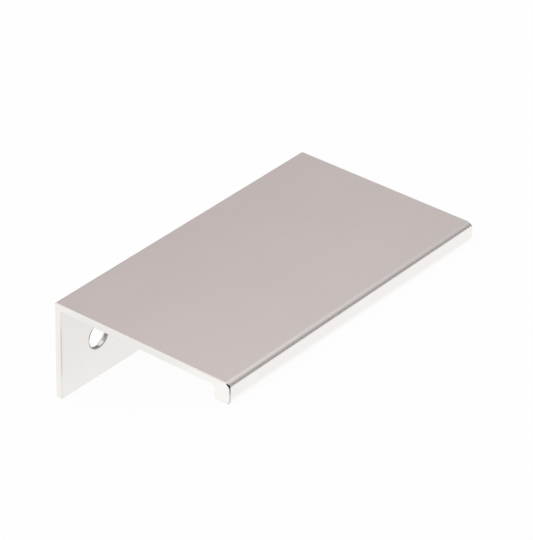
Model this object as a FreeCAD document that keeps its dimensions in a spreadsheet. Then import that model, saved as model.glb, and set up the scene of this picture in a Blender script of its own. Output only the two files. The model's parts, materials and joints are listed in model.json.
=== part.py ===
import FreeCAD, Part

import enum
import math
import os

import Sketcher
from FreeCAD import Placement, Rotation, Vector

# A finger pull for a cabinet door or drawer front with no handle: a sawn length of extruded aluminium.
# A flat plate lies over the door's edge, a leg goes down behind the door and is screwed to it from the back,
# and a thicker lip hangs down in front, where the fingers pull.
#
# The body's own frame has its origin at the top rear edge, halfway along: X along the length, Y to the rear,
# Z up, with the plate level. The section lies in the YZ plane, with every part of it at negative Y and Z.
# All sizes are in millimetres and degrees.

SIZES = (
    ("length", 70, "sawn length of the piece"),
    ("projection", 40, "rear face of the leg to the front of the lip"),
    ("plate_thickness", 1.5, "top plate"),
    ("leg_height", 20, "top of the plate to the foot of the leg"),
    ("leg_thickness", 1.5, "leg behind the door"),
    ("lip_height", 4.3, "top of the plate to the foot of the lip"),
    ("lip_thickness", 3.4, "lip, front to rear"),
    ("nose_radius", 1.2, "round from the plate down to the front of the lip"),
    ("lip_foot_radius", 1.0, "front lower edge of the lip, where the fingers pass"),
    ("lip_heel_radius", 0.4, "rear lower edge of the lip"),
    ("lip_root_radius", 1.3, "hollow round between the lip and the underside"),
    ("leg_root_radius", 0.3, "hollow round between the leg and the underside"),
    ("corner_radius", 0.3, "the other outer corners of the extruded section"),
    ("end_break", 0.2, "edges taken off the sawn ends"),
    ("hole_diameter", 5, "screw hole"),
    ("hole_from_end", 10, "end of the piece to the hole's axis"),
    ("hole_drop", 11.2, "top of the plate to the hole's axis"),
    ("countersink_diameter", 6.6, "countersink at the leg's rear face"),
    ("countersink_angle", 90, "whole angle of the countersink"),
    ("hole_break", 0.1, "edge taken off the hole at the leg's front face"),
)

# How the pull lies when nothing holds it. The plate doesn't stay level: the pull rolls forwards over the foot
# of its leg until the lip meets the ground. Both feet are rounds, so it tips by the slope of the line that
# touches the two rounds from below. Drops and depths are with the plate level, and each formula may use the
# ones before it.
REST = (
    ("leg_drop", "Sizes.leg_height - Sizes.corner_radius",
     "origin down to the centres of the leg foot's rounds"),
    ("leg_depth", "Sizes.leg_thickness - Sizes.corner_radius",
     "origin forward to the front one of these"),
    ("lip_drop", "Sizes.lip_height - Sizes.lip_foot_radius",
     "origin down to the centre of the lip foot's round"),
    ("lip_depth", "Sizes.projection - Sizes.lip_foot_radius",
     "origin forward to this centre"),
    ("foot_distance", "hypot(lip_depth - leg_depth; leg_drop - lip_drop)",
     "from round to round"),
    ("centre_slope", "atan2(leg_drop - lip_drop; lip_depth - leg_depth)",
     "of the line through the two centres"),
    ("tip_angle", "centre_slope + asin((Sizes.corner_radius - Sizes.lip_foot_radius) / foot_distance)",
     "how far the plate slopes down to the front"),
    ("rearmost", "leg_drop * sin(tip_angle) + Sizes.corner_radius * (1 - cos(tip_angle))",
     "origin back to the leg's foot"),
    ("nose_depth", "Sizes.projection - Sizes.nose_radius",
     "origin forward to the centre of the nose's round"),
    ("foremost", "nose_depth * cos(tip_angle) + Sizes.nose_radius * (1 - sin(tip_angle))",
     "origin forward to the nose"),
    ("lowest", "leg_depth * sin(tip_angle) + leg_drop * cos(tip_angle) + Sizes.corner_radius",
     "origin down to the ground"),
)

# The spots of a sketched line, arc or circle that a constraint takes hold of.
Spot = enum.IntEnum("Spot", "START END CENTRE")
# The axes of a sketch, as constraints know them, and its origin, where the level axis starts.
Axis = enum.IntEnum("Axis", {"LEVEL": -1, "UPRIGHT": -2})
ORIGIN = (Axis.LEVEL, Spot.START)
# Two places closer than this are the same place.
SAME = 1e-6


def make_sheet(document, name, rows):
    """Puts each size or formula in a named cell, with its meaning beside it."""
    sheet = document.addObject("Spreadsheet::Sheet", name)
    for row, (alias, content, meaning) in enumerate(rows, start=1):
        sheet.set(f"A{row}", alias)
        sheet.set(f"B{row}", content)
        sheet.set(f"C{row}", meaning)
        sheet.setAlias(f"B{row}", alias)
    document.recompute()
    return sheet


def origin_plane(body, role):
    """One of the body's own origin planes, by its role."""
    return next(plane for plane in body.Origin.OriginFeatures if plane.Role == role)


def sketch_on_plane(body, role, name):
    """An empty sketch that lies on one of the body's origin planes."""
    sketch = body.newObject("Sketcher::SketchObject", name)
    sketch.AttachmentSupport = [(origin_plane(body, role), "")]
    sketch.MapMode = "FlatFace"
    return sketch


def bind(sketch, constraint, name, formula):
    """Adds a constraint under a name of its own and binds it to a formula."""
    index = sketch.addConstraint(constraint)
    sketch.renameConstraint(index, name)
    sketch.setExpression(f"Constraints.{name}", formula)


def section_corners(sheet):
    """The section's sharp corners, from the rear of the top forwards and round.

    Each has its place, the name of its radius, and whether it is hollow.
    """
    front = -sheet.projection
    lip_rear = front + sheet.lip_thickness
    lip_foot = -sheet.lip_height
    underside = -sheet.plate_thickness
    leg_front = -sheet.leg_thickness
    leg_foot = -sheet.leg_height
    return (
        (Vector(0, 0), "corner_radius", False),
        (Vector(front, 0), "nose_radius", False),
        (Vector(front, lip_foot), "lip_foot_radius", False),
        (Vector(lip_rear, lip_foot), "lip_heel_radius", False),
        (Vector(lip_rear, underside), "lip_root_radius", True),
        (Vector(leg_front, underside), "leg_root_radius", True),
        (Vector(leg_front, leg_foot), "corner_radius", False),
        (Vector(0, leg_foot), "corner_radius", False),
    )


def draw_section(sketch, sheet):
    """Draws the section: straight sides, level and upright in turn, joined by tangent rounds."""
    places, names, hollows = zip(*section_corners(sheet))
    radii = [getattr(sheet, name) for name in names]
    sides = range(len(places))
    ways = [(places[side] - places[side - 1]).normalize() for side in sides]
    # A side runs into its corner's round at one tangent point, and the next side leaves it at another.
    arrivals = [place - way * radius for place, way, radius in zip(places, ways, radii)]
    leavings = [place + way * radius for place, way, radius in zip(places, ways[1:] + ways[:1], radii)]

    for side in sides:
        sketch.addGeometry(Part.LineSegment(leavings[side - 1], arrivals[side]), False)
        sketch.addConstraint(Sketcher.Constraint("Horizontal" if side % 2 else "Vertical", side))

    first_with = {}
    for side, place, name, radius, hollow in zip(sides, places, names, radii, hollows):
        centre = arrivals[side] + leavings[side] - place
        ends = [arrivals[side], leavings[side]]
        near, far = Spot.START, Spot.END
        if hollow:
            ends.reverse()
            near, far = far, near
        angles = [math.atan2(point.y - centre.y, point.x - centre.x) for point in ends]
        circle = Part.Circle(centre, Vector(0, 0, 1), radius)
        arc = sketch.addGeometry(Part.ArcOfCircle(circle, *angles), False)
        next_side = (side + 1) % len(sides)
        sketch.addConstraint(Sketcher.Constraint("Tangent", side, Spot.END, arc, near))
        sketch.addConstraint(Sketcher.Constraint("Tangent", arc, far, next_side, Spot.START))
        if name in first_with:
            sketch.addConstraint(Sketcher.Constraint("Equal", first_with[name], arc))
        else:
            bind(sketch, Sketcher.Constraint("Radius", arc, radius), name, f"Sizes.{name}")
            first_with[name] = arc


def place_section(sketch, sheet):
    """Sets where each side of the section lies. A side is numbered after the corner that it ends at."""
    leg_rear, top, front, lip_foot, lip_rear, underside, leg_front, leg_foot = range(8)
    sketch.addConstraint(Sketcher.Constraint("PointOnObject", top, Spot.START, Axis.LEVEL))
    sketch.addConstraint(Sketcher.Constraint("PointOnObject", leg_rear, Spot.START, Axis.UPRIGHT))
    for name, kind, line in (
        ("projection", "DistanceX", front),
        ("leg_thickness", "DistanceX", leg_front),
        ("plate_thickness", "DistanceY", underside),
        ("lip_height", "DistanceY", lip_foot),
        ("leg_height", "DistanceY", leg_foot),
    ):
        distance = Sketcher.Constraint(kind, line, Spot.START, *ORIGIN, getattr(sheet, name))
        bind(sketch, distance, name, f"Sizes.{name}")
    across = Sketcher.Constraint("DistanceX", front, Spot.START, lip_rear, Spot.START, sheet.lip_thickness)
    bind(sketch, across, "lip_thickness", "Sizes.lip_thickness")


def extrude_bar(document, body, sheet):
    """The extruded length, equal to both sides of the middle."""
    sketch = sketch_on_plane(body, "YZ_Plane", "Section")
    draw_section(sketch, sheet)
    place_section(sketch, sheet)
    bar = body.newObject("PartDesign::Pad", "Bar")
    bar.Profile = sketch
    bar.SideType = "Symmetric"
    bar.setExpression("Length", "Sizes.length")
    document.recompute()
    sketch.Visibility = False
    return bar


def break_edges(document, body, base, name, size, wanted):
    """Takes a small bevel off those edges of the base feature that pass the test."""
    edges = [f"Edge{number}" for number, edge in enumerate(base.Shape.Edges, start=1) if wanted(edge)]
    bevel = body.newObject("PartDesign::Chamfer", name)
    bevel.Base = (base, edges)
    bevel.setExpression("Size", size)
    document.recompute()
    return bevel


def drill_leg(document, body, sheet):
    """A countersunk screw hole from the leg's rear face near one end, and its mirror image near the other."""
    mark = sketch_on_plane(body, "XZ_Plane", "HoleMark")
    from_middle = sheet.length / 2 - sheet.hole_from_end
    centre = Vector(-from_middle, -sheet.hole_drop, 0)
    circle = mark.addGeometry(Part.Circle(centre, Vector(0, 0, 1), sheet.hole_diameter / 2), False)
    across = Sketcher.Constraint("DistanceX", circle, Spot.CENTRE, *ORIGIN, from_middle)
    bind(mark, across, "from_middle", "Sizes.length / 2 - Sizes.hole_from_end")
    down = Sketcher.Constraint("DistanceY", circle, Spot.CENTRE, *ORIGIN, sheet.hole_drop)
    bind(mark, down, "hole_drop", "Sizes.hole_drop")
    round_it = Sketcher.Constraint("Diameter", circle, sheet.hole_diameter)
    bind(mark, round_it, "hole_diameter", "Sizes.hole_diameter")
    document.recompute()

    hole = body.newObject("PartDesign::Hole", "ScrewHole")
    hole.Profile = mark
    document.recompute()
    hole.Reversed = True
    hole.DepthType = "Dimension"
    hole.DrillPoint = "Flat"
    hole.HoleCutType = "Countersink"
    hole.HoleCutCustomValues = True
    hole.setExpression("Depth", "Sizes.leg_thickness")
    hole.setExpression("Diameter", "Sizes.hole_diameter")
    hole.setExpression("HoleCutDiameter", "Sizes.countersink_diameter")
    hole.setExpression("HoleCutCountersinkAngle", "Sizes.countersink_angle")
    document.recompute()
    mark.Visibility = False

    pair = body.newObject("PartDesign::Mirrored", "SecondHole")
    pair.Originals = [hole]
    pair.MirrorPlane = (origin_plane(body, "YZ_Plane"), [""])
    body.Tip = pair
    document.recompute()
    return hole, pair


def lay_at_rest(body):
    """Tips the pull forwards onto its two feet and centres it over the origin, standing on the ground."""
    body.Placement = Placement(Vector(), Rotation(Vector(1, 0, 0), 1))
    body.setExpression("Placement.Rotation.Angle", "Rest.tip_angle")
    body.setExpression("Placement.Base.y", "(Rest.foremost - Rest.rearmost) / 2")
    body.setExpression("Placement.Base.z", "Rest.lowest")


def make_profile(document, sheet):
    """The finger pull as one solid."""
    body = document.addObject("PartDesign::Body", "Profile")
    body.Label = "pull_profile"
    bar = extrude_bar(document, body, sheet)

    def on_sawn_end(edge):
        """Whether an edge runs round one of the two sawn ends."""
        return abs(abs(edge.CenterOfMass.x) - sheet.length / 2) < SAME

    def on_hole_mouth(edge):
        """Whether an edge is the rim of a hole in the leg's front face."""
        rim = edge.Curve
        if not isinstance(rim, Part.Circle):
            return False
        return abs(abs(rim.Axis.y) - 1) < SAME and abs(rim.Center.y + sheet.leg_thickness) < SAME

    ends = break_edges(document, body, bar, "EndBreaks", "Sizes.end_break", on_sawn_end)
    hole, pair = drill_leg(document, body, sheet)
    if not ends.Shape.Volume > hole.Shape.Volume > pair.Shape.Volume:
        raise RuntimeError("a screw hole misses the leg")
    # The straight wall that the countersink leaves limits the bevel at its other end.
    sink_depth = "(Sizes.countersink_diameter - Sizes.hole_diameter) / 2 / tan(Sizes.countersink_angle / 2)"
    hole_break = f"min(Sizes.hole_break; (Sizes.leg_thickness - {sink_depth}) / 2)"
    break_edges(document, body, pair, "HoleBreaks", hole_break, on_hole_mouth)
    lay_at_rest(body)
    document.recompute()
    return body


def check(document, bodies):
    """Stops before anything is written if a feature failed or a piece isn't one valid solid."""
    for thing in document.Objects:
        if {"Invalid", "Error"} & set(thing.State):
            raise RuntimeError(f"{thing.Label} failed: {thing.getStatusString()}")
    for body in bodies:
        shape = body.Shape
        if shape.isNull() or not shape.isValid() or len(shape.Solids) != 1:
            raise RuntimeError(f"{body.Label} isn't one valid solid")


def main():
    document = FreeCAD.newDocument("FingerPull")
    sheet = make_sheet(document, "Sizes", [(name, str(value), meaning) for name, value, meaning in SIZES])
    make_sheet(document, "Rest", [(name, f"={formula}", meaning) for name, formula, meaning in REST])
    bodies = [make_profile(document, sheet)]
    document.recompute()
    check(document, bodies)
    os.makedirs("parts", exist_ok=True)
    for body in bodies:
        body.Shape.exportStep(f"parts/{body.Label}.step")
        box = body.Shape.BoundBox
        tip = math.degrees(body.Placement.Rotation.Angle)
        print(f"{body.Label}: {box.XLength:.2f} x {box.YLength:.2f} x {box.ZLength:.2f} mm,", end=" ")
        print(f"{body.Shape.Volume:.1f} mm3, plate sloping by {tip:.2f} degrees")


main()
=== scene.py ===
import json
import math
from types import SimpleNamespace

import bpy
from mathutils import Matrix, Vector

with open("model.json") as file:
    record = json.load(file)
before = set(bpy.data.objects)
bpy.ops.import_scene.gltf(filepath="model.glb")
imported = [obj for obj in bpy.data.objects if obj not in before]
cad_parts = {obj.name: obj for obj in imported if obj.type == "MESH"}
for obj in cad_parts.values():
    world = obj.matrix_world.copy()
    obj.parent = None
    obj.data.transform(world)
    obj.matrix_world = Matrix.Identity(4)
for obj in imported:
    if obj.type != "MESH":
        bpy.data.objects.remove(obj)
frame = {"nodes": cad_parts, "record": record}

# A sawn length of extruded aluminium finger pull with a satin anodised finish, lying as it comes to rest on
# a pale floor under soft studio light. Places are in metres and angles in degrees, apart from what is said
# to be in mm.

PULL = "pull_profile"
MOUNTS = {mount["name"]: mount for mount in frame["record"]["mounts"]}
MM = 0.001

# The photograph's view: a long lens that looks at AIM from DISTANCE away. The roll comes from the object,
# which is tipped forwards at rest while the photograph shows its plate level. An azimuth of 0 is straight
# in front of the lip, and grows towards +X.
FRAME_HEIGHT = 540
SENSOR = 36.0
FOCAL_PIXELS = 3381.0
AIM = Vector((-9.28, -12.53, 13.76)) * MM
DISTANCE = 593.5 * MM
AZIMUTH = -44.025
ELEVATION = 16.821
ROLL = -17.022
CLIP_START = 0.01
CLIP_END = 12.0

# What the metal mirrors. The room's walls have one colour, with round patches laid over it in this order.
# Each has the azimuth and elevation of its middle, the angle from there to its edge, the angle over which
# the edge fades, and its colour. In the photograph's view the plate mirrors the first patch, near the edges
# of the three after it, and the nose mirrors the ceiling. The last patch lies in the ceiling and is a
# little dimmer.
WALLS = (0.502, 0.480, 0.474)
LIGHTS = {
    "right": (99.3, 37.7, 35.9, 8.7, (0.490, 0.420, 0.419)),
    "ceiling": (20, 83.2, 44.8, 3, (1.00, 0.97, 0.97)),
    "front_right": (88.7, 31.4, 16.9, 3.1, (0.300, 0.285, 0.282)),
    "behind": (132.7, 42.1, 13.9, 3.1, (0.318, 0.252, 0.252)),
    "high_right": (99, 60.5, 4.4, 4.4, (0.88, 0.85, 0.84)),
}
# The foot of the walls is as pale as the floor, and fades out between these elevations. In front of it
# stands a dark cloth, whose top shows above the floor. The nose mirrors that top a little over halfway down.
WALL_FOOT = (0.0, 2.0)
WALL_FOOT_COLOUR = (1, 1, 1)
CLOTHS = {"beyond_the_lip": (39, -26.6, 39.5, 12, (0.130, 0.116, 0.114))}

# Each lamp is a square: where it hangs, its side and the radiance of its face. For a radiance of 1 it takes
# WATTS_PER_RADIANCE watts a square metre.
LAMPS = {
    "left": {"place": (-1.15, 0.51, 1.8), "side": 2.0, "radiance": 0.3},
    "behind": {"place": (0.2, 1.9, 1.5), "side": 2.2, "radiance": 0.3},
}
WATTS_PER_RADIANCE = 4

# The floor is white paint, mixed with a white glow for the rays that see it directly or mirrored.
FLOOR_WHITE = 0.95
FLOOR_GLOW = 0.955
FLOOR_RADIUS = 4.0
FLOOR_SIDES = 96

# The finish of each kind of surface: its colour and how far that varies, its roughness and how far that
# varies, and the depth of its marks in micrometres. They are laid over each other in this order, and the
# painted dark reflections at the holes' front rims come last. SATIN is the etched extrusion, whose colour
# carries painted shade in the channel and a painted dark line under the nose; then come the faces that point
# down, painted pale as a painted reflection of the floor; the sawn ends' broken edges, painted dark as a
# painted dark reflection; those edges that face upwards, painted less dark, as painted light from above; the
# near-black painted dark reflection at the nose's corners; SAWN the ends; DRILLED the walls of the holes; a
# painted highlight, a pale glint, on those walls; and SUNK the countersinks, duller than the faces around
# them.
SATIN = {"colour": (0.915, 0.890, 0.870), "tint": 0.050, "roughness": 0.292, "patchy": 0.014, "depth": 3.0}
# Painted reflection: near white, for the faces that point down, as if they mirrored the bright floor.
PAINTED_PALE_FOOT = {"colour": (0.995, 0.990, 0.985), "tint": 0.010, "roughness": 0.30, "patchy": 0.014, "depth": 1.0}
# Painted dark reflection: the broken edges are painted darker than the metal.
DARK_EDGE = {"colour": (0.660, 0.640, 0.625), "tint": 0.080, "roughness": 0.34, "patchy": 0.040, "depth": 3.0}
# Painted light: the upward broken edges are painted less dark than the rest, as if lit from above.
TOP_EDGE_PAINT = {"colour": (0.770, 0.745, 0.730), "tint": 0.040, "roughness": 0.30, "patchy": 0.014, "depth": 2.0}
# Painted dark reflection: near black, at the nose's corners and the holes' front rims.
PAINTED_DARK = {"colour": (0.095, 0.092, 0.090), "tint": 0.100, "roughness": 0.36, "patchy": 0.030, "depth": 3.0}
SAWN = {"colour": (0.922, 0.902, 0.882), "tint": 0.050, "roughness": 0.33, "patchy": 0.030, "depth": 5.0}
DRILLED = {"colour": (0.400, 0.382, 0.370), "tint": 0.300, "roughness": 0.36, "patchy": 0.050, "depth": 6.0}
# Painted highlight: a pale glint on each hole's wall.
PAINTED_GLINT = {"colour": (0.800, 0.785, 0.775), "tint": 0.050, "roughness": 0.32, "patchy": 0.040, "depth": 2.0}
SUNK = {"colour": (0.780, 0.762, 0.748), "tint": 0.050, "roughness": 0.30, "patchy": 0.014, "depth": 2.0}
MICROMETRE = 1e-6

# Which surface is which, by the parts of its normal. A broken edge faces sideways by at least EDGE_SIDEWAYS
# and a sawn end by FLAT, which also tells the leg's faces from the walls of its holes. The painted pale foot,
# a painted reflection, fades in between the two upward parts of FOOT_FACING. MARGIN, in mm, takes in the
# faces that bound the channel and the leg.
EDGE_SIDEWAYS = 0.3
EDGE_UPWARDS = 0.3
FLAT = 0.9
FOOT_FACING = (-0.40, -0.58)
MARGIN = 0.05

# From here on sizes are in mm. A pair of fades, "lower" and "upper", bounds a band: each says where it
# starts from nothing and where it is full.

# The channel under the plate is taken to end in the middle of the lip, and what lies beyond is dressed as
# the lip. Its painted pale foot, a painted reflection of the floor, fades in between these depths under the
# plate.
CHANNEL_WIDTH = 36.8
LIP_FOOT = (1.2, 1.9)
# Painted dark reflection: the nose is painted darker in a line where it turns into the lip's face, between
# these upward parts of its normal.
NOSE_DARK_LINE = {"loss": 0.20, "lower": (0.02, 0.12), "upper": (0.36, 0.24)}
# Painted dark reflection: at each end the nose's corner is painted near black, from so far off the middle
# outwards, and between these upward parts of the normal. Its tail runs down the lip's edge and fades with the
# depth under the plate.
DARK_CORNER_START = 34.68
DARK_CORNER = {"lower": (-0.08, 0.08), "upper": (0.58, 0.48)}
DARK_CORNER_TAIL = {"share": 0.6, "depth": (1.1, -0.4), "facing": (0.27, 0.05)}
# Painted dark reflection: the leg's front edge is painted less dark at its root and foot, by depth under the
# plate: it keeps more of its colour.
LEG_EDGE = {"gain": 0.22, "lower": (1, 6), "upper": (15, 11)}
# Painted shade: the channel is painted darker than the plate's top: the share of the colour that is kept on
# the plate's underside, and at CHANNEL_DEPTH, near the foot of the leg.
CHANNEL_SHADE_ROOT = 0.90
CHANNEL_SHADE_FOOT = 0.96
CHANNEL_DEPTH = 18.0
# Painted reflection: the sawn end's colour is painted darker under the plate, where it would mirror less of
# the floor, and paler at the lip, where it would mirror more, by the distance in front of the leg: its colour
# loses and gains these shares.
END_SHADE = {"loss": 0.045, "lower": (-1, 6), "upper": (32, 20)}
END_GLEAM = {"gain": 0.065, "fade": (24, 36)}

# The holes. The finish of their walls reaches COUNTERSINK past their radius, which takes in the
# countersinks, and covers a darker rim round each mouth in the leg's front face; its width comes next.
COUNTERSINK = 0.95
HOLE_RIM_WIDTH = 0.25
# The countersink starts so far behind the middle of the straight wall.
SINK_START = 0.27
# Painted highlight: the way that the painted glint on each wall faces, and the cosines of the angles from it
# between which it fades.
GLINT_FACES = Vector((-0.342, -0.359, 0.868))
GLINT_FADE = (0.955, 0.993)
# A painted dark reflection lies to one side of each front rim: the way there from the hole's axis, the
# cosines of the angles from it between which it fades, its width, and where it starts, in front of the middle
# of the straight wall.
RIM_SHADE = {"way": Vector((-0.883, -0.179, 0.434)), "fade": (0.925, 0.972), "width": 0.30, "front": -0.25}

# The marks. Die lines run the whole length, and the etch leaves a fine grain and wide faint clouds. The saw
# leaves arcs round its own axle, which stood off above and behind the section. The drill leaves rings.
DIE_LINES = {"spacing": 0.35, "length": 80.0}
GRAIN = 0.09
GRAIN_SHARE = 0.35
CLOUDS = 14.0
SAW_AXLE = (0, 95, 120)
SAW_MARKS = {"spacing": 0.3, "length": 14.0}
DRILL_RINGS = 0.16


def node(tree, kind, inputs=(), **settings):
    """Adds a shader node, sets its properties, and gives its inputs their numbers or links."""
    made = tree.nodes.new(kind)
    for name, value in settings.items():
        setattr(made, name, value)
    for name, value in dict(inputs).items():
        socket = made.inputs[name]
        if isinstance(value, bpy.types.NodeSocket):
            tree.links.new(value, socket)
        else:
            socket.default_value = value
    return made


def empty_tree(owner):
    """The owner's node tree, with nothing in it."""
    owner.use_nodes = True
    owner.node_tree.nodes.clear()
    return owner.node_tree


def sum_of(tree, operation, first, second=0.0):
    """The result of a sum on one or two values."""
    return node(tree, "ShaderNodeMath", {0: first, 1: second}, operation=operation).outputs[0]


def product(tree, *values):
    """The values times each other."""
    result = values[0]
    for value in values[1:]:
        result = sum_of(tree, "MULTIPLY", result, value)
    return result


def above(tree, value, limit):
    """1 where the value is above the limit."""
    return sum_of(tree, "GREATER_THAN", value, limit)


def below(tree, value, limit):
    """1 where the value is below the limit."""
    return sum_of(tree, "LESS_THAN", value, limit)


def fade(tree, value, start, end):
    """0 up to start, rising smoothly to 1 at end; start may be the higher of the two."""
    inputs = {"Value": value, "From Min": start, "From Max": end}
    return node(tree, "ShaderNodeMapRange", inputs, interpolation_type="SMOOTHSTEP").outputs[0]


def between(tree, value, band):
    """1 between the band's lower and upper fades, and 0 outside them."""
    return product(tree, fade(tree, value, *band["lower"]), fade(tree, value, *band["upper"]))


def vector_sum(tree, operation, first, second=(0, 0, 0)):
    """The results of a sum on one or two vectors."""
    return node(tree, "ShaderNodeVectorMath", {0: first, 1: second}, operation=operation).outputs


def dot(tree, first, second):
    """How far the first vector reaches along the second."""
    return vector_sum(tree, "DOT_PRODUCT", first, second)["Value"]


def length(tree, vector):
    """The length of a vector."""
    return vector_sum(tree, "LENGTH", vector)["Value"]


def parts_of(tree, vector):
    """The vector's three parts, by their names."""
    return node(tree, "ShaderNodeSeparateXYZ", {0: vector}).outputs


def scaled(tree, colour, factor):
    """A colour times a number."""
    return node(tree, "ShaderNodeVectorMath", {0: colour, "Scale": factor}, operation="SCALE").outputs[0]


def blend(tree, share, first, second):
    """The first colour or number where the share is 0, and the second where it is 1."""
    coloured = [isinstance(value, tuple) or getattr(value, "type", "") == "RGBA" for value in (first, second)]
    kind, slots = ("RGBA", (6, 7, 2)) if any(coloured) else ("FLOAT", (2, 3, 0))
    mix = node(tree, "ShaderNodeMix", {0: share}, data_type=kind)
    for slot, value in zip(slots, (first, second)):
        if isinstance(value, bpy.types.NodeSocket):
            tree.links.new(value, mix.inputs[slot])
        else:
            mix.inputs[slot].default_value = (*value, 1) if isinstance(value, tuple) else value
    return mix.outputs[slots[2]]


def noise(tree, place, size):
    """Smooth noise from 0 to 1 about a half, with lumps of this size along each axis."""
    shrunk = vector_sum(tree, "DIVIDE", place, size)[0]
    return node(tree, "ShaderNodeTexNoise", {"Vector": shrunk, "Scale": 1.0}).outputs[0]


def offset_from(tree, place, mount):
    """The vector from a mount to a place, in mm."""
    return vector_sum(tree, "SUBTRACT", place, Vector(mount["pos_m"]) / MM)[0]


def distance_along(tree, place, mount):
    """How far a place lies from a mount along the mount's axis, in mm."""
    return dot(tree, offset_from(tree, place, mount), Vector(mount["axis"]))


def read_surface(tree):
    """What the finishes go by: a spot's place in mm and its normal, and the parts of both that matter."""
    coordinates = node(tree, "ShaderNodeTexCoord").outputs
    place = vector_sum(tree, "DIVIDE", coordinates["Object"], (MM, MM, MM))[0]
    place_parts = parts_of(tree, place)
    facing = coordinates["Normal"]
    facing_parts = parts_of(tree, facing)
    return SimpleNamespace(
        place=place,
        from_middle=sum_of(tree, "ABSOLUTE", place_parts["X"]),
        height=place_parts["Z"],
        forwards=distance_along(tree, place, MOUNTS["door_back_face"]),
        downwards=distance_along(tree, place, MOUNTS["door_edge_face"]),
        down_hole=distance_along(tree, place, MOUNTS["screw_hole_left"]),
        facing=facing,
        sideways=sum_of(tree, "ABSOLUTE", facing_parts["X"]),
        upwards=facing_parts["Z"],
    )


def marks_of(tree, spot):
    """The marks of each kind of work on the metal, from 0 to 1 about a half."""
    grain = noise(tree, spot.place, (GRAIN, GRAIN, GRAIN))
    die_lines = noise(tree, spot.place, (DIE_LINES["length"], DIE_LINES["spacing"], DIE_LINES["spacing"]))
    from_axle = length(tree, vector_sum(tree, "SUBTRACT", spot.place, SAW_AXLE)[0])
    along_arcs = node(tree, "ShaderNodeCombineXYZ", {"X": from_axle, "Y": spot.height}).outputs[0]
    down_hole = node(tree, "ShaderNodeCombineXYZ", {"X": spot.down_hole}).outputs[0]
    return {
        "grain": grain,
        "satin": blend(tree, GRAIN_SHARE, die_lines, grain),
        "arcs": noise(tree, along_arcs, (SAW_MARKS["spacing"], SAW_MARKS["length"], 1)),
        "rings": noise(tree, down_hole, (DRILL_RINGS, 1, 1)),
    }


def satin_colour(tree, spot, lip, inside):
    """The satin's colour, with painted shade in the channel and a painted dark line under the nose."""
    # Painted shade: darker under the plate, most at the plate's underside.
    kept = blend(tree, sum_of(tree, "DIVIDE", spot.downwards, CHANNEL_DEPTH), CHANNEL_SHADE_ROOT, CHANNEL_SHADE_FOOT)
    # Painted dark reflection along the nose's turn into the lip.
    loss = product(tree, lip, between(tree, spot.upwards, NOSE_DARK_LINE), NOSE_DARK_LINE["loss"])
    return scaled(tree, SATIN["colour"], sum_of(tree, "SUBTRACT", blend(tree, inside, 1.0, kept), loss))


def dark_edge_colour(tree, spot):
    """The painted dark colour of the broken edges, less dark at the root and the foot of the leg."""
    less_dark = sum_of(tree, "SUBTRACT", 1.0, between(tree, spot.downwards, LEG_EDGE))
    gain = product(tree, less_dark, below(tree, spot.forwards, MARGIN), LEG_EDGE["gain"])
    return scaled(tree, DARK_EDGE["colour"], sum_of(tree, "ADD", gain, 1.0))


def sawn_colour(tree, spot):
    """The sawn ends' colour, with painted shade under the plate and painted paler reflection at the lip."""
    loss = product(tree, between(tree, spot.forwards, END_SHADE), END_SHADE["loss"])
    gain = product(tree, fade(tree, spot.forwards, *END_GLEAM["fade"]), END_GLEAM["gain"])
    return scaled(tree, SAWN["colour"], sum_of(tree, "ADD", sum_of(tree, "SUBTRACT", gain, loss), 1.0))


def nose_dark_corner(tree, spot, lip, edge):
    """1 on the painted dark reflection at the nose's corners, and less down its tail on the lip's edge."""
    at_end = product(tree, above(tree, spot.from_middle, DARK_CORNER_START), below(tree, spot.sideways, FLAT))
    corner = product(tree, at_end, between(tree, spot.upwards, DARK_CORNER))
    lower_edge = product(tree, edge, fade(tree, spot.upwards, *DARK_CORNER_TAIL["facing"]))
    tail = product(tree, lower_edge, fade(tree, spot.downwards, *DARK_CORNER_TAIL["depth"]), DARK_CORNER_TAIL["share"])
    return product(tree, sum_of(tree, "MAXIMUM", corner, tail), lip)


def screw_holes(tree, spot):
    """1 on the screw holes' walls, countersinks and the rims round their mouths, and 1 on the painted dark
    reflections at their front rims.
    """
    bores = [mount for mount in MOUNTS.values() if mount["kind"] == "bore"]
    axis = Vector(bores[0]["axis"])
    radius = bores[0]["dims"]["r_mm"]
    gaps, rim_shades = [], []
    for bore in bores:
        offset = offset_from(tree, spot.place, bore)
        gap = length(tree, vector_sum(tree, "CROSS_PRODUCT", offset, axis)[0])
        cosine = sum_of(tree, "DIVIDE", dot(tree, offset, RIM_SHADE["way"]), gap)
        near = below(tree, gap, radius + RIM_SHADE["width"])
        rim_shades.append(product(tree, fade(tree, cosine, *RIM_SHADE["fade"]), near))
        gaps.append(gap)
    gap = sum_of(tree, "MINIMUM", *gaps)
    slope = sum_of(tree, "ABSOLUTE", dot(tree, spot.facing, axis))
    walls = product(tree, below(tree, gap, radius + COUNTERSINK), below(tree, slope, FLAT))
    drilled = sum_of(tree, "MAXIMUM", below(tree, gap, radius + HOLE_RIM_WIDTH), walls)
    rim_shading = product(tree, below(tree, spot.down_hole, RIM_SHADE["front"]), sum_of(tree, "MAXIMUM", *rim_shades))
    return drilled, rim_shading


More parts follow.
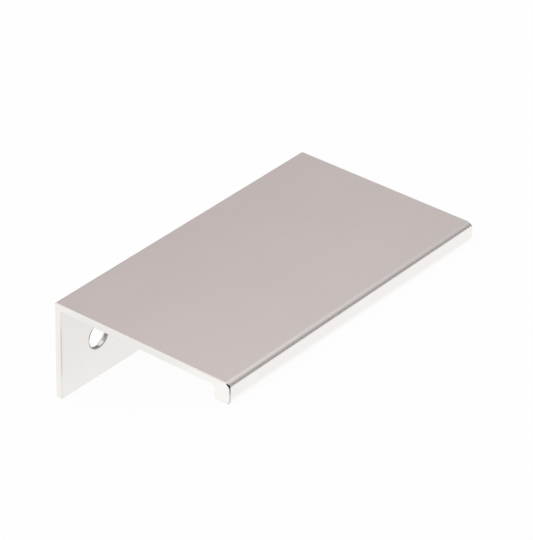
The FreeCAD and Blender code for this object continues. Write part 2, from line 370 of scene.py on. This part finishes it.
def lay_finishes(tree, spot):
    """The finish of a spot, with each kind of surface laid over those before it."""
    marks = marks_of(tree, spot)
    lip = above(tree, spot.forwards, CHANNEL_WIDTH)
    inside = product(tree, above(tree, spot.forwards, -MARGIN), above(tree, spot.downwards, -MARGIN))
    inside = product(tree, inside, below(tree, spot.forwards, CHANNEL_WIDTH))
    # Painted reflection: faces that point down outside the channel, and the lip's foot, are painted pale.
    foot = product(tree, fade(tree, spot.upwards, *FOOT_FACING), sum_of(tree, "SUBTRACT", 1.0, inside))
    lip_foot = product(tree, lip, fade(tree, spot.downwards, *LIP_FOOT))
    # Painted dark reflection: the broken edges are painted darker than the metal.
    edge = above(tree, spot.sideways, EDGE_SIDEWAYS)
    # Painted light: the upward broken edges are painted less dark, as if lit from above.
    top_edge = product(tree, edge, above(tree, spot.upwards, EDGE_UPWARDS))
    drilled, rim_shade = screw_holes(tree, spot)
    # Painted highlight: a pale glint on each hole's wall, by the way the wall faces.
    glint_share = product(tree, drilled, fade(tree, dot(tree, spot.facing, GLINT_FACES), *GLINT_FADE))
    sunk = product(tree, drilled, above(tree, spot.down_hole, SINK_START))
    layers = (
        (sum_of(tree, "MAXIMUM", foot, lip_foot), PAINTED_PALE_FOOT, {}, "grain"),
        (edge, DARK_EDGE, {"colour": dark_edge_colour(tree, spot)}, "grain"),
        (top_edge, TOP_EDGE_PAINT, {}, "grain"),
        # Painted dark reflection at the nose's corners.
        (nose_dark_corner(tree, spot, lip, edge), PAINTED_DARK, {}, "grain"),
        (above(tree, spot.sideways, FLAT), SAWN, {"colour": sawn_colour(tree, spot)}, "arcs"),
        (drilled, DRILLED, {}, "rings"),
        (glint_share, PAINTED_GLINT, {}, "rings"),
        (sunk, SUNK, {}, "rings"),
        # Painted dark reflection at the holes' front rims, laid last.
        (rim_shade, PAINTED_DARK, {}, "grain"),
    )
    finish = {**SATIN, "colour": satin_colour(tree, spot, lip, inside), "marks": marks["satin"]}
    for share, kind, changes, mark in layers:
        layer = {**kind, **changes, "marks": marks[mark]}
        finish = {name: blend(tree, share, finish[name], layer[name]) for name in finish}
    return finish


def satin_aluminium():
    """Etched and clear anodised aluminium, with the marks of the die, the saw and the drill."""
    material = bpy.data.materials.new("satin_aluminium")
    tree = empty_tree(material)
    spot = read_surface(tree)
    finish = lay_finishes(tree, spot)
    clouds = noise(tree, spot.place, (CLOUDS, CLOUDS, CLOUDS))
    swing = sum_of(tree, "SUBTRACT", sum_of(tree, "ADD", finish["marks"], clouds), 1.0)
    tint = sum_of(tree, "ADD", product(tree, swing, finish["tint"]), 1.0)
    roughness = sum_of(tree, "ADD", finish["roughness"], product(tree, swing, finish["patchy"]))
    height = product(tree, finish["marks"], finish["depth"])
    relief = node(tree, "ShaderNodeBump", {"Strength": 1.0, "Distance": MICROMETRE, "Height": height})
    shader = node(tree, "ShaderNodeBsdfPrincipled", {
        "Base Color": scaled(tree, finish["colour"], tint),
        "Metallic": 1.0,
        "Roughness": roughness,
        "Normal": relief.outputs[0],
    })
    node(tree, "ShaderNodeOutputMaterial", {"Surface": shader.outputs["BSDF"]})
    return material


def seen_directly(tree):
    """1 for what the camera sees, also by a reflection or through glass, and 0 for diffuse light."""
    path = node(tree, "ShaderNodeLightPath").outputs
    seen = sum_of(tree, "MAXIMUM", path["Is Camera Ray"], path["Is Glossy Ray"])
    return sum_of(tree, "MAXIMUM", seen, path["Is Transmission Ray"])


def make_floor():
    """A wide pale floor that keeps the object's shadow."""
    bpy.ops.mesh.primitive_circle_add(vertices=FLOOR_SIDES, radius=FLOOR_RADIUS, fill_type="NGON")
    floor = bpy.context.object
    floor.name = "floor"
    material = bpy.data.materials.new("pale_floor")
    tree = empty_tree(material)
    matte = node(tree, "ShaderNodeBsdfDiffuse", {"Color": (FLOOR_WHITE, FLOOR_WHITE, FLOOR_WHITE, 1)})
    glow = node(tree, "ShaderNodeEmission", {"Color": (1, 1, 1, 1), "Strength": 1.0})
    share = product(tree, seen_directly(tree), FLOOR_GLOW)
    both = node(tree, "ShaderNodeMixShader", {0: share, 1: matte.outputs[0], 2: glow.outputs[0]})
    node(tree, "ShaderNodeOutputMaterial", {"Surface": both.outputs[0]})
    floor.data.materials.append(material)


def direction(azimuth, elevation):
    """The unit vector towards an azimuth and an elevation."""
    turn, rise = math.radians(azimuth), math.radians(elevation)
    return Vector((math.sin(turn) * math.cos(rise), -math.cos(turn) * math.cos(rise), math.sin(rise)))


def lay_patches(tree, way, colour, patches):
    """Lays round patches over a colour that depends on the direction."""
    for azimuth, elevation, reach, soft, patch in patches.values():
        angle = sum_of(tree, "ARCCOSINE", dot(tree, way, direction(azimuth, elevation)))
        inside = fade(tree, angle, math.radians(reach + soft / 2), math.radians(reach - soft / 2))
        colour = blend(tree, inside, colour, patch)
    return colour


def make_world():
    """The room that the metal mirrors."""
    world = bpy.data.worlds.new("studio")
    bpy.context.scene.world = world
    tree = empty_tree(world)
    way = node(tree, "ShaderNodeTexCoord").outputs["Generated"]
    colour = lay_patches(tree, way, WALLS, LIGHTS)
    pale, clear = (math.sin(math.radians(elevation)) for elevation in WALL_FOOT)
    colour = blend(tree, fade(tree, parts_of(tree, way)["Z"], clear, pale), colour, WALL_FOOT_COLOUR)
    colour = lay_patches(tree, way, colour, CLOTHS)
    room = node(tree, "ShaderNodeBackground", {"Color": colour, "Strength": 1.0})
    node(tree, "ShaderNodeOutputWorld", {"Surface": room.outputs[0]})


def make_lamps():
    """Square soft lamps that face the object."""
    for name, size in LAMPS.items():
        lamp = bpy.data.lights.new(name, "AREA")
        lamp.size = size["side"]
        lamp.energy = WATTS_PER_RADIANCE * size["radiance"] * size["side"] ** 2
        holder = bpy.data.objects.new(name, lamp)
        place = Vector(size["place"])
        holder.location = place
        holder.rotation_euler = (place - AIM).to_track_quat("Z", "Y").to_euler()
        bpy.context.scene.collection.objects.link(holder)


def make_camera():
    """The camera, at the photograph's angle to the object."""
    azimuth, elevation, roll = (math.radians(angle) for angle in (AZIMUTH, ELEVATION, ROLL))
    turn = (
        Matrix.Rotation(azimuth, 4, "Z")
        @ Matrix.Rotation(math.pi / 2 - elevation, 4, "X")
        @ Matrix.Rotation(roll, 4, "Z")
    )
    data = bpy.data.cameras.new("camera")
    data.sensor_fit = "VERTICAL"
    data.sensor_height = SENSOR
    data.sensor_width = SENSOR
    data.lens = FOCAL_PIXELS / FRAME_HEIGHT * SENSOR
    data.clip_start = CLIP_START
    data.clip_end = CLIP_END
    camera = bpy.data.objects.new("camera", data)
    camera.matrix_world = Matrix.Translation(AIM) @ turn @ Matrix.Translation((0, 0, DISTANCE))
    bpy.context.scene.collection.objects.link(camera)
    bpy.context.scene.camera = camera


def dress_pull():
    """Gives the pull its finish."""
    metal = satin_aluminium()
    for slot in frame["nodes"][PULL].material_slots:
        slot.material = metal


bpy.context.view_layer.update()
make_world()
make_floor()
make_lamps()
make_camera()
dress_pull()
bpy.context.scene.view_settings.view_transform = "Standard"
